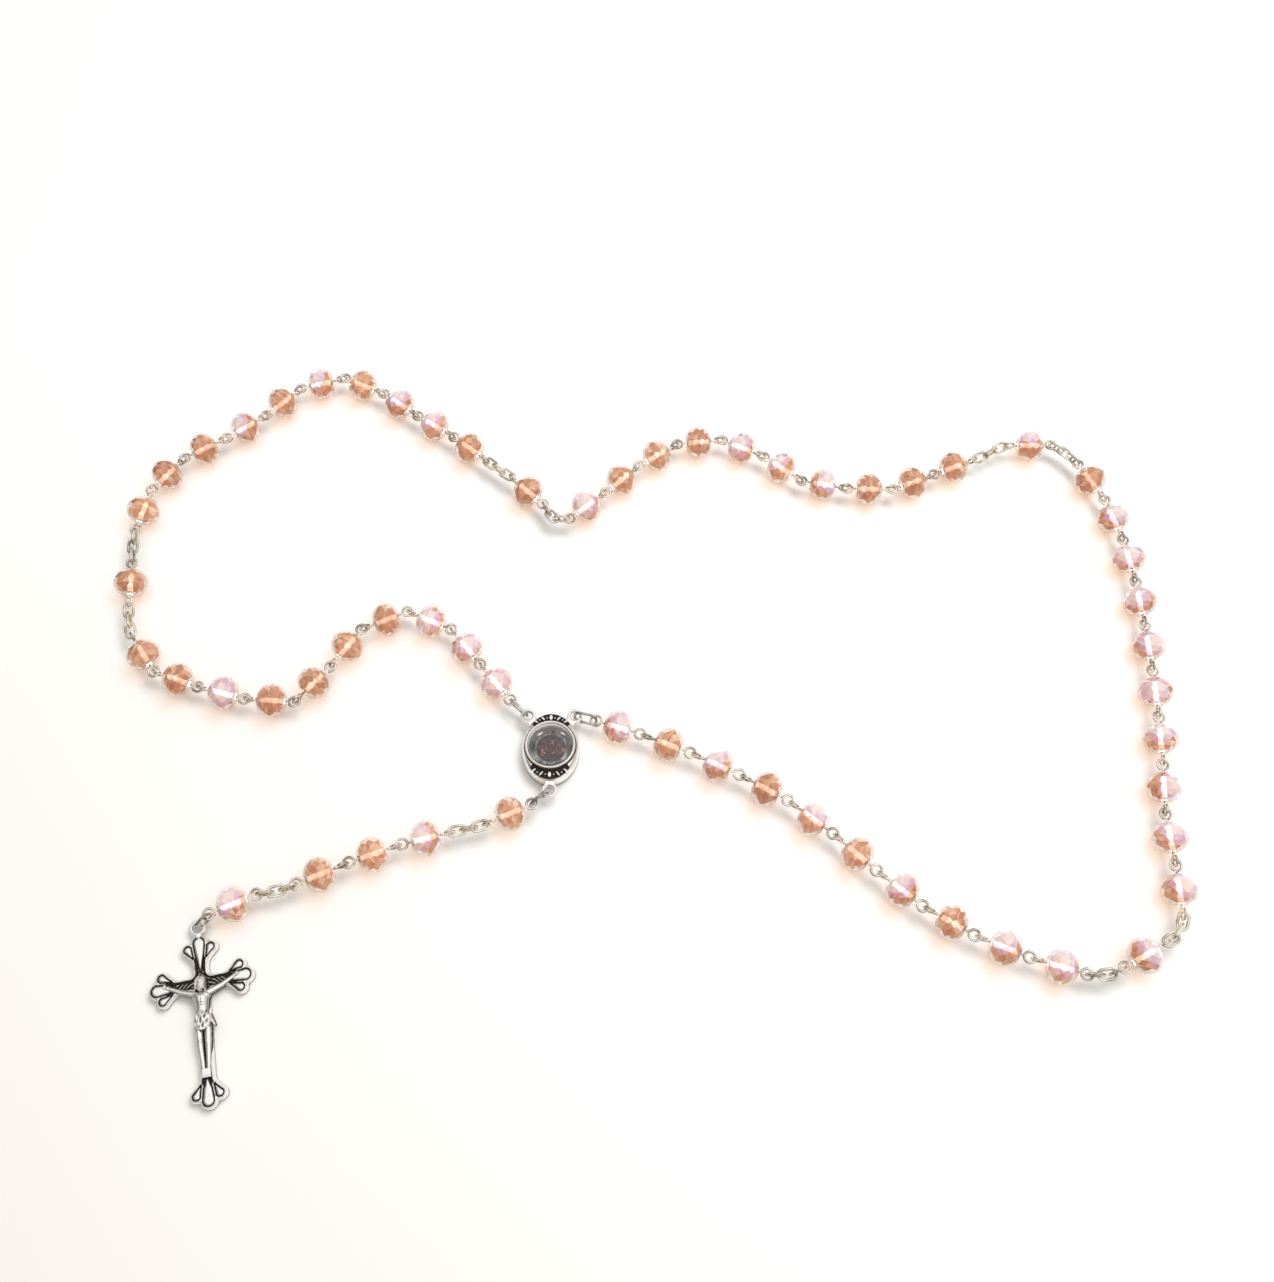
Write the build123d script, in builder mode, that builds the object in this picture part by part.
"""Five-decade rosary laid out flat: crystal beads on wire eye pins, short cable chain between
the decades, a round-windowed centrepiece and a crucifix with budded ends.

Millimetres, +Z up. The origin is the middle of the centrepiece's flat back, on the surface
that everything lies on. Seen from above, +X is to the right and the crucifix is at -Y.
"""

import os
from collections import namedtuple
from math import asin, cos, pi, radians, sin, sqrt, tan

from build123d import *

# Beads
BEAD_DIAMETER = 8.0
BEAD_LENGTH = 6.2
BEAD_BORE = 1.1
BEAD_TABLE = 3.0
BEAD_SIDES = 12
BELT_SLOPE = 17.0
CROWN_SLOPE = 52.0

# Eye pins: one wire through each bead, with a loop turned at both ends
PIN_WIRE = 0.65
PIN_LOOP = 1.2
PIN_NECK = 1.0
LOOP_OPENING = 14.0

# Cable chain links between the decades
LINK_WIRE = 0.7
LINK_RADIUS = 1.1
LINK_STRAIGHT = 1.7

# Longer links at the centrepiece, and the ring at the crucifix
HOLDER_RADIUS = 1.3
HOLDER_STRAIGHT = 2.7
HOLDER_LEAN = -62.0
RING_RADIUS = 1.65
RING_STRAIGHT = 1.0

# Room left between two linked rings, and between a bead and its pin's height
RING_CLEARANCE = 0.15
FIT_CLEARANCE = 0.05

# Centrepiece
CASE_WIDTH = 13.0
CASE_HEIGHT = 16.2
CASE_DROP = 0.4
CASE_THICKNESS = 4.4
CASE_ROUNDING = 1.2
BEZEL_RADIUS = 5.7
BEZEL_TOP = 5.0
LENS_RADIUS = 5.0
LENS_TOP = 5.9
LENS_SEAT = 3.2
SOIL_RADIUS = 3.5
SOIL_FLOOR = 1.8
BAND_DEPTH = 0.4

# Eyelets on the centrepiece and on the crucifix; a drop is how far something is below the beads' axis
EYELET_HOLE = 0.95
EYELET_RIM = 0.85
EYELET_THICKNESS = 0.75
EYELET_DROP = 0.9
EYELET_SIDE = 5.4
EYELET_UP = 7.4
EYELET_DOWN = 10.3

# Crucifix, measured from its eyelet down
CROSS_TOP_DROP = 1.7
CROSS_BAR = 2.8
CROSSING_DROP = 11.8
CROSS_DROP = 38.0
CROSS_SPAN = 22.4
CROSS_TURN = 11.5
PETAL_LENGTH = 7.0
PETAL_WIDTH = 3.2
LOBE_RADIUS = 1.25
LOBE_REACH = 2.45
LOBE_BACK = 3.3
HEAD_RADIUS = 1.25
HAND_REACH = 7.4
LIMB_RADIUS = 0.55

# How loosely each stretch lies: 0 is pulled tight, 1 is pushed together
DECADE_SLACK = (0.8, 0.9, 0.9, 0.8, 0.0)
CHAIN_SLACK = (0.5, 0.6, 0.7, 1.0, 0.0, 1.0, 1.0, 1.0)
OPEN_PIVOT_SLACK = 0.5
HOLDER_SLACK = 0.35
LEAN_SLACK = 0.55
PENDANT_SLACK = 0.2
PENDANT_CHAIN_SLACK = (0.9, 0.9)
LOWER_LINK_SLACK = 0.9

# A decade swings in three parts of so many beads
DECADE_PARTS = (3, 4, 3)
CHAIN_LINKS = 3

# The way the loop lies, from the left eyelet round to the right one
LOOP_ROUTE = (
    (-13, 15), (-20, 24), (-29, 32), (-39, 32), (-48, 24), (-54, 14), (-62, 9), (-74, 13),
    (-86, 15), (-95, 22), (-99, 32), (-100, 42), (-101, 52), (-100, 62), (-96, 71), (-87, 78),
    (-77, 84), (-69, 92), (-61, 98), (-50, 97), (-41, 91), (-31, 84), (-21, 77), (-14, 71),
    (-5, 64), (1, 57), (6, 60), (15, 68), (24, 76), (34, 80), (44, 79), (52, 74), (60, 68),
    (71, 66), (83, 66), (94, 71), (104, 75), (116, 80), (124, 77), (130, 69), (134, 59),
    (136, 48), (137, 36), (137, 24), (137, 13), (136, 1), (135, -10), (134, -21), (135, -32),
    (133, -41), (125, -46), (117, -50), (108, -49), (97, -45), (86, -40), (76, -33), (67, -25),
    (58, -17), (48, -10), (38, -5), (27, 0), (16, 4),
)

# The way the pendant lies, from the lower eyelet on past the crucifix's eyelet
PENDANT_ROUTE = (
    (-4, -14), (-12, -18), (-20, -20), (-29, -22), (-40, -26), (-51, -30), (-57, -33),
    (-62, -34), (-67, -35), (-72, -38), (-77, -43), (-88, -55),
)

AXIS_HEIGHT = BEAD_DIAMETER / 2
EYELET_HEIGHT = AXIS_HEIGHT - EYELET_DROP
CROSS_THICKNESS = AXIS_HEIGHT - CROSS_TOP_DROP
PIN_REACH = BEAD_LENGTH / 2 + PIN_NECK + PIN_LOOP
EYELET_RADIUS = EYELET_HOLE + EYELET_RIM

# One rigid member of the chain. near and far say whether the ring at that end lies flat (H) or
# stands on edge (V), and each gap is how far a standing ring's centre is from the flat ring that
# holds it. roll turns an oval link about its own length.
Member = namedtuple("Member", "kind node near far span near_gap far_gap roll")
Placed = namedtuple("Placed", "member start end plane")

os.makedirs("parts", exist_ok=True)


def ring_gap(radius_a, wire_a, radius_b, wire_b, slack):
    """Distance between two linked rings' centres, from pulled tight to pushed together."""
    wires = (wire_a + wire_b) / 2
    tight = radius_a + radius_b - wires - RING_CLEARANCE
    loose = wires + RING_CLEARANCE
    return tight - slack * (tight - loose)


def pin_gap(slack):
    return ring_gap(PIN_LOOP, PIN_WIRE, PIN_LOOP, PIN_WIRE, slack)


def pin_link_gap(slack):
    return ring_gap(PIN_LOOP, PIN_WIRE, LINK_RADIUS, LINK_WIRE, slack)


def link_gap(slack):
    return ring_gap(LINK_RADIUS, LINK_WIRE, LINK_RADIUS, LINK_WIRE, slack)


def holder_gap(radius):
    """A ring pulled out towards the outer rim of an eyelet, with room for its slope."""
    return EYELET_HOLE + radius - LINK_WIRE / 2 - 2 * RING_CLEARANCE


def leaning_gap(radius):
    """A ring that leans too far for that passes through the middle of the hole."""
    return radius


def pin(node, near, far, near_gap, far_gap):
    return Member("pin", node, near, far, 2 * PIN_REACH, near_gap, far_gap, 0)


def chain(node, first, slack):
    """A short run of oval links, flat and standing by turns, ends taken by a pin's loops."""
    members = []
    for i in range(CHAIN_LINKS):
        flat = (first == "H") == (i % 2 == 0)
        lies = "H" if flat else "V"
        near_gap = pin_link_gap(slack) if i == 0 else link_gap(slack)
        far_gap = pin_link_gap(slack) if i == CHAIN_LINKS - 1 else link_gap(slack)
        roll = 0 if flat else 90
        members.append(Member("link", node, lies, lies, LINK_STRAIGHT, near_gap, far_gap, roll))
    return members


def decade(number, tail_gap):
    """Ten pins in three swinging parts. Each pin's near loop lies flat and its far one stands."""
    slack = DECADE_SLACK[number - 1]
    members = []
    for part, count in zip(("start", "middle", "end"), DECADE_PARTS):
        for _ in range(count):
            members.append(pin(f"decade_{number}_{part}", "H", "V", 0, pin_gap(slack)))
    members[-1] = members[-1]._replace(far_gap=tail_gap)
    return members


def single(number):
    """The lone bead between two decades, with the chain before it and the chain after it."""
    before = CHAIN_SLACK[2 * number - 2]
    after = CHAIN_SLACK[2 * number - 1]
    node = f"single_pin_{number}"
    members = chain(f"chain_{number}", "H", before)
    members.append(pin(node, "V", "H", pin_link_gap(before), 0))
    members += chain(node, "V", after)
    if number == 2:
        open_gap = pin_link_gap(OPEN_PIVOT_SLACK)
        members[-1] = members[-1]._replace(far_gap=open_gap)
    return members


def holder(node, near_gap, far_gap, roll):
    return Member("holder", node, "V", "V", HOLDER_STRAIGHT, near_gap, far_gap, roll)


def loop_members():
    """Every member of the loop in order, from the left eyelet round to the right one."""
    to_pin = ring_gap(PIN_LOOP, PIN_WIRE, HOLDER_RADIUS, LINK_WIRE, HOLDER_SLACK)
    to_leaning = ring_gap(PIN_LOOP, PIN_WIRE, HOLDER_RADIUS, LINK_WIRE, LEAN_SLACK)
    members = [holder("left_link", holder_gap(HOLDER_RADIUS), to_pin, 90)]
    for number in range(1, 5):
        members += decade(number, pin_link_gap(CHAIN_SLACK[2 * number - 2]))
        members += single(number)
    members += decade(5, 0)
    members[-1] = members[-1]._replace(far="H")
    members.append(holder("right_link", to_leaning, leaning_gap(HOLDER_RADIUS), HOLDER_LEAN))
    return members


def pendant_members():
    """Every member of the pendant in order, from the lower eyelet to the crucifix's."""
    upper, lower = PENDANT_CHAIN_SLACK
    to_pin = ring_gap(PIN_LOOP, PIN_WIRE, HOLDER_RADIUS, LINK_WIRE, LOWER_LINK_SLACK)
    to_ring = ring_gap(PIN_LOOP, PIN_WIRE, RING_RADIUS, LINK_WIRE, HOLDER_SLACK)
    members = [holder("lower_link", holder_gap(HOLDER_RADIUS), to_pin, 90)]
    members.append(pin("first_pin", "H", "V", 0, pin_link_gap(upper)))
    members += chain("pendant_chain_1", "H", upper)
    members.append(pin("three_pins", "V", "H", pin_link_gap(upper), 0))
    members.append(pin("three_pins", "V", "H", pin_gap(PENDANT_SLACK), 0))
    members.append(pin("three_pins", "V", "H", pin_gap(PENDANT_SLACK), 0))
    members += chain("pendant_chain_2", "V", lower)
    members.append(pin("last_pin", "H", "H", 0, 0))
    at_cross = leaning_gap(RING_RADIUS)
    members.append(Member("ring", "jump_ring", "V", "V", RING_STRAIGHT, to_ring, at_cross, 90))
    return members


def reach(member):
    """Distance between the two points that a member turns about."""
    length = member.span
    if member.near == "V":
        length += member.near_gap
    if member.far == "V":
        length += member.far_gap
    return length


def next_stop(route, begin, here, length):
    """The first place along the route that is a straight length away from here, or None."""
    step = 0.002
    ahead = begin + step
    while ahead < 1 and (route.position_at(ahead) - here).length < length:
        ahead += step
    if ahead >= 1:
        return None
    low, high = ahead - step, ahead
    for _ in range(26):
        middle = (low + high) / 2
        if (route.position_at(middle) - here).length < length:
            low = middle
        else:
            high = middle
    return high


def walk(route, members, heights):
    """Step the members along the route. Returns the stops, fewer than asked if it runs out."""
    here = route.position_at(0)
    stops = [here]
    at = 0.0
    for member, low, high in zip(members, heights, heights[1:]):
        run = sqrt(reach(member) ** 2 - (high - low) ** 2)
        at = next_stop(route, at, here, run)
        if at is None:
            return stops
        here = route.position_at(at)
        stops.append(here)
    return stops


class Route:
    """A smooth line through flat points, read many times, so it is sampled once."""

    def __init__(self, points):
        with BuildLine() as line:
            Spline(*points)
        edge = line.edges()[0]
        count = 12 * len(points)
        self.count = count
        mode = PositionMode.PARAMETER
        self.samples = [edge.position_at(i / count, mode) for i in range(count + 1)]

    def position_at(self, share):
        place = min(max(share, 0), 1) * self.count
        index = min(int(place), self.count - 1)
        first, second = self.samples[index], self.samples[index + 1]
        return first + (second - first) * (place - index)


def lay_loop(members, start, end):
    """Scale the loop's route until the chain, walked along it, just reaches the right eyelet."""
    heights = [EYELET_HEIGHT] + [AXIS_HEIGHT] * (len(members) - 1) + [EYELET_HEIGHT]
    last_run = sqrt(reach(members[-1]) ** 2 - (AXIS_HEIGHT - EYELET_HEIGHT) ** 2)
    small, large = 0.6, 1.6
    for _ in range(22):
        scale = (small + large) / 2
        points = [start] + [(x * scale, y * scale) for x, y in LOOP_ROUTE] + [end]
        stops = walk(Route(points), members[:-1], heights[:-1])
        spare = -1 if len(stops) < len(members) else (Vector(*end) - stops[-1]).length - last_run
        if spare > 0:
            large = scale
        else:
            small = scale
    if len(stops) < len(members):
        points = [start] + [(x * large, y * large) for x, y in LOOP_ROUTE] + [end]
        stops = walk(Route(points), members[:-1], heights[:-1])
    return [Vector(s.X, s.Y, h) for s, h in zip(stops + [Vector(*end)], heights)]


def lay_pendant(members, start):
    cross_eyelet = CROSS_THICKNESS - EYELET_THICKNESS / 2
    heights = [EYELET_HEIGHT] + [AXIS_HEIGHT] * (len(members) - 1) + [cross_eyelet]
    stops = walk(Route([start, *PENDANT_ROUTE]), members, heights)
    return [Vector(s.X, s.Y, h) for s, h in zip(stops, heights)]


def place(members, stops):
    """Each member's own plane: X along it, Z up, at the middle of its two ring centres."""
    placed = []
    for member, start, end in zip(members, stops, stops[1:]):
        along = (end - start).normalized()
        lead = member.near_gap if member.near == "V" else 0
        middle = start + along * (lead + member.span / 2)
        side = Vector(0, 0, 1).cross(along).normalized()
        up = along.cross(side)
        placed.append(Placed(member, start, end, Plane(origin=middle, x_dir=along, z_dir=up)))
    return placed


def faceted_bead():
    """A cut crystal rondelle: a zigzag belt, a crown row each side and a small flat table."""
    half = BEAD_LENGTH / 2
    belt = BEAD_DIAMETER / 2 * (1 - (pi / BEAD_SIDES / 2) ** 2 / 2)
    with BuildPart() as bead:
        with BuildSketch(Plane.YZ.offset(-half)):
            Circle(BEAD_DIAMETER / 2)
        extrude(amount=BEAD_LENGTH)
        for side in (1, -1):
            shift = 0.0 if side == 1 else 0.5
            for i in range(BEAD_SIDES):
                belt_turn = 360 / BEAD_SIDES * (i + shift + 0.25)
                belt_out = Vector(0, 0, 1).rotate(Axis.X, belt_turn)
                belt_lean = belt_out + Vector(side * tan(radians(BELT_SLOPE)), 0, 0)
                split(bisect_by=Plane(origin=belt_out * belt, z_dir=belt_lean), keep=Keep.BOTTOM)
                crown_out = Vector(0, 0, 1).rotate(Axis.X, belt_turn + 180 / BEAD_SIDES)
                crown_lean = crown_out + Vector(side * tan(radians(CROWN_SLOPE)), 0, 0)
                crown_foot = crown_out * (BEAD_TABLE / 2) + Vector(side * half, 0, 0)
                split(bisect_by=Plane(origin=crown_foot, z_dir=crown_lean), keep=Keep.BOTTOM)
        with BuildSketch(Plane.YZ.offset(-half)):
            Circle(BEAD_BORE / 2)
        extrude(amount=BEAD_LENGTH, mode=Mode.SUBTRACT)
    return bead.part


def eye_pin(near, far):
    """A straight wire with a turned loop at each end, each flat (H) or on edge (V)."""
    shank = PIN_REACH - PIN_LOOP
    with BuildPart() as wire:
        with BuildSketch(Plane.YZ.offset(-shank)):
            Circle(PIN_WIRE / 2)
        extrude(amount=2 * shank)
        for side, lies in ((-1, near), (1, far)):
            across = Vector(0, 1, 0) if lies == "H" else Vector(0, 0, 1)
            hub = Vector(side * PIN_REACH, 0, 0)
            neck = hub - Vector(side * PIN_LOOP, 0, 0)
            turn = Axis(hub, Vector(side, 0, 0).cross(across))
            with BuildSketch(Plane(origin=neck, z_dir=across)):
                Circle(PIN_WIRE / 2)
            revolve(axis=turn, revolution_arc=360 - LOOP_OPENING)
    return wire.part


def oval_link(radius, straight, wire):
    """A flat oval ring, long along X."""
    with BuildPart() as link:
        with BuildSketch(Plane.YZ.offset(-straight / 2)):
            with Locations((radius, 0), (-radius, 0)):
                Circle(wire / 2)
        extrude(amount=straight)
        for side in (-1, 1):
            hub = (side * straight / 2, 0, 0)
            with BuildSketch(Plane.YZ.offset(side * straight / 2)):
                with Locations((radius, 0)):
                    Circle(wire / 2)
            revolve(axis=Axis(hub, (0, 0, -side)), revolution_arc=180)
    return link.part


def eyelet_spots():
    return {
        "left": (-EYELET_SIDE, EYELET_UP),
        "right": (EYELET_SIDE, EYELET_UP),
        "lower": (0, -EYELET_DOWN),
    }


def centre_case():
    """The cast oval shell with three eyelets, a stepped well, a bezel and two sunk bands."""
    middle = (0, -CASE_DROP)
    with BuildPart() as case:
        with BuildSketch():
            with Locations(middle):
                Ellipse(CASE_WIDTH / 2, CASE_HEIGHT / 2)
        extrude(amount=CASE_THICKNESS)
        fillet(case.faces().sort_by(Axis.Z)[-1].edges(), CASE_ROUNDING)
        with BuildSketch(Plane.XY.offset(CASE_THICKNESS - BAND_DEPTH)):
            with Locations(middle):
                Ellipse(CASE_WIDTH / 2 - CASE_ROUNDING / 2, CASE_HEIGHT / 2 - CASE_ROUNDING / 2)
            Rectangle(CASE_WIDTH, 2 * LENS_RADIUS, mode=Mode.SUBTRACT)
        extrude(amount=BAND_DEPTH, mode=Mode.SUBTRACT)
        with BuildSketch(Plane.XY.offset(SOIL_FLOOR)):
            Circle(BEZEL_RADIUS)
        extrude(amount=BEZEL_TOP - SOIL_FLOOR)
        for spot in eyelet_spots().values():
            with BuildSketch(Plane.XY.offset(EYELET_HEIGHT - EYELET_THICKNESS / 2)):
                with Locations(spot):
                    Circle(EYELET_RADIUS)
                with Locations((spot[0] / 2, spot[1] / 2)):
                    Circle(EYELET_RADIUS)
                make_hull()
            extrude(amount=EYELET_THICKNESS)
        with Locations([(x, y, EYELET_HEIGHT) for x, y in eyelet_spots().values()]):
            Cylinder(EYELET_HOLE, 2 * EYELET_THICKNESS, mode=Mode.SUBTRACT)
        with BuildSketch(Plane.XY.offset(LENS_SEAT)):
            Circle(LENS_RADIUS + FIT_CLEARANCE)
        extrude(amount=BEZEL_TOP - LENS_SEAT, mode=Mode.SUBTRACT)
        with BuildSketch(Plane.XY.offset(SOIL_FLOOR)):
            Circle(SOIL_RADIUS + FIT_CLEARANCE)
        extrude(amount=LENS_SEAT - SOIL_FLOOR, mode=Mode.SUBTRACT)
    return case.part


def centre_lens():
    """The clear domed window that sits on the ledge of the well."""
    shoulder = BEZEL_TOP - FIT_CLEARANCE
    seat = LENS_SEAT + FIT_CLEARANCE
    rise = LENS_TOP - shoulder
    dome = (LENS_RADIUS**2 + rise**2) / (2 * rise)
    half_angle = asin(LENS_RADIUS / dome) / 2
    crown = (dome * sin(half_angle), LENS_TOP - dome * (1 - cos(half_angle)))
    with BuildPart() as lens:
        with BuildSketch(Plane.XZ):
            with BuildLine():
                Polyline((0, LENS_TOP), (0, seat), (LENS_RADIUS, seat), (LENS_RADIUS, shoulder))
                ThreePointArc((LENS_RADIUS, shoulder), crown, (0, LENS_TOP))
            make_face()
        revolve(axis=Axis.Z)
    return lens.part


def soil_fill():
    """The earth sealed under the window."""
    with BuildPart() as soil:
        with BuildSketch(Plane.XY.offset(SOIL_FLOOR + FIT_CLEARANCE)):
            Circle(SOIL_RADIUS)
        extrude(amount=LENS_SEAT - SOIL_FLOOR - FIT_CLEARANCE)
    return soil.part


def cross_ends():
    """Where the four budded ends finish, and the turn of each from pointing down."""
    arm = CROSS_SPAN / 2
    top = -EYELET_RADIUS
    return (
        ((0, top), 180),
        ((0, -CROSS_DROP), 0),
        ((-arm, -CROSSING_DROP), -90),
        ((arm, -CROSSING_DROP), 90),
    )


def budded_end(tip, turn):
    """Sketch one end: a long petal with a small lobe each side, flaring from the bar."""
    with Locations(Location((tip[0], tip[1], 0), (0, 0, turn))):
        with Locations((0, PETAL_LENGTH / 2)):
            Ellipse(PETAL_WIDTH / 2, PETAL_LENGTH / 2)
        with Locations((LOBE_REACH, LOBE_BACK), (-LOBE_REACH, LOBE_BACK)):
            Circle(LOBE_RADIUS)
        with Locations((0, LOBE_BACK + PETAL_LENGTH / 2)):
            Trapezoid(CROSS_BAR + 2.2, PETAL_LENGTH - 1.5, 72)


def limb(start, end, start_radius, end_radius):
    """Add a tapered round limb between two points."""
    along = Vector(*end) - Vector(*start)
    middle = (Vector(*end) + Vector(*start)) / 2
    with Locations(Plane(origin=middle, z_dir=along)):
        Cone(start_radius, end_radius, along.length)


def corpus(face):
    """Add the figure in relief: head, arms raised to the lobes, body, cloth, legs and block."""
    chest = -CROSSING_DROP - 2.2
    waist = -CROSSING_DROP - 6.4
    hem = -CROSSING_DROP - 9.4
    ankle = -CROSSING_DROP - 17.6
    rise = face + LIMB_RADIUS * 0.4
    with Locations((0, -CROSSING_DROP, face + HEAD_RADIUS * 0.4)):
        Sphere(HEAD_RADIUS)
    limb((0, chest, rise), (0, waist, rise), 1.25, 0.85)
    limb((0, waist, rise), (0, hem, rise), 0.95, 1.25)
    for side in (-1, 1):
        hand = (side * HAND_REACH, -CROSSING_DROP + 0.5, rise)
        limb((side * 0.6, chest, rise), hand, LIMB_RADIUS * 1.2, LIMB_RADIUS * 0.8)
        limb((side * 0.6, hem, rise), (side * 0.35, ankle, rise), 0.7, 0.45)
    with Locations((0, ankle - 1.0, face)):
        Box(1.9, 2.2, 1.4)


def crucifix():
    """Cast cross with budded ends, an eyelet and a figure in relief on its face."""
    face = CROSS_THICKNESS
    with BuildPart() as cross:
        with BuildSketch():
            with Locations((0, -(CROSS_DROP + EYELET_RADIUS) / 2)):
                Rectangle(CROSS_BAR, CROSS_DROP - EYELET_RADIUS - PETAL_LENGTH)
            with Locations((0, -CROSSING_DROP)):
                Rectangle(CROSS_SPAN - PETAL_LENGTH, CROSS_BAR)
            for tip, turn in cross_ends():
                budded_end(tip, turn)
        extrude(amount=face)
        with BuildSketch(Plane.XY.offset(face - EYELET_THICKNESS)):
            Circle(EYELET_RADIUS)
            with Locations((0, -EYELET_RADIUS)):
                Rectangle(CROSS_BAR / 2, EYELET_RADIUS)
        extrude(amount=EYELET_THICKNESS)
        with Locations((0, 0, face / 2)):
            Cylinder(EYELET_HOLE, 2 * face, mode=Mode.SUBTRACT)
        corpus(face)
        split(bisect_by=Plane.XY, keep=Keep.TOP)
    return cross.part


def save(part, name):
    part.label = name
    export_step(part, f"parts/{name}.step")


def save_group(pieces, name):
    """Write several separate solids as one node."""
    with BuildPart() as group:
        for piece in pieces:
            add(piece)
    save(group.part, name)


LOOP = loop_members()
PENDANT = pendant_members()
LOOP_STOPS = lay_loop(LOOP, eyelet_spots()["left"], eyelet_spots()["right"])
PENDANT_STOPS = lay_pendant(PENDANT, eyelet_spots()["lower"])
ALL_PLACED = place(LOOP, LOOP_STOPS) + place(PENDANT, PENDANT_STOPS)


def member_solid(member, shapes):
    if member.kind == "pin":
        return shapes[member.near + member.far]
    return shapes[member.kind]


def member_location(placed):
    turn = Location((0, 0, 0), (placed.member.roll, 0, 0))
    return placed.plane.location * turn


def build_chain():
    """Write the wire nodes, each with every pin and link of its part, and the bead nodes."""
    shapes = {
        "HV": eye_pin("H", "V"),
        "VH": eye_pin("V", "H"),
        "HH": eye_pin("H", "H"),
        "link": oval_link(LINK_RADIUS, LINK_STRAIGHT, LINK_WIRE),
        "holder": oval_link(HOLDER_RADIUS, HOLDER_STRAIGHT, LINK_WIRE),
        "ring": oval_link(RING_RADIUS, RING_STRAIGHT, LINK_WIRE),
    }
    bead = faceted_bead()
    for node in dict.fromkeys(placed.member.node for placed in ALL_PLACED):
        mine = [placed for placed in ALL_PLACED if placed.member.node == node]
        wires = [member_solid(p.member, shapes).moved(member_location(p)) for p in mine]
        pins = [p for p in mine if p.member.kind == "pin"]
        save_group(wires, node + "_pins" if node.startswith("decade") else node)
        if pins:
            beads = [bead.moved(p.plane.location) for p in pins]
            save_group(beads, bead_node(node))


def bead_node(node):
    """The glass that a wire node carries: decade_1_start -> decade_1_start_beads."""
    if node.startswith("decade"):
        return node + "_beads"
    return node.replace("pins", "beads").replace("pin", "bead")


def build_all():
    build_chain()
    save(centre_case(), "centre_case")
    save(centre_lens(), "centre_lens")
    save(soil_fill(), "soil_fill")
    hang = PENDANT_STOPS[-1]
    stand = Location((hang.X, hang.Y, 0), (0, 0, CROSS_TURN))
    save(crucifix().moved(stand), "crucifix")


build_all()
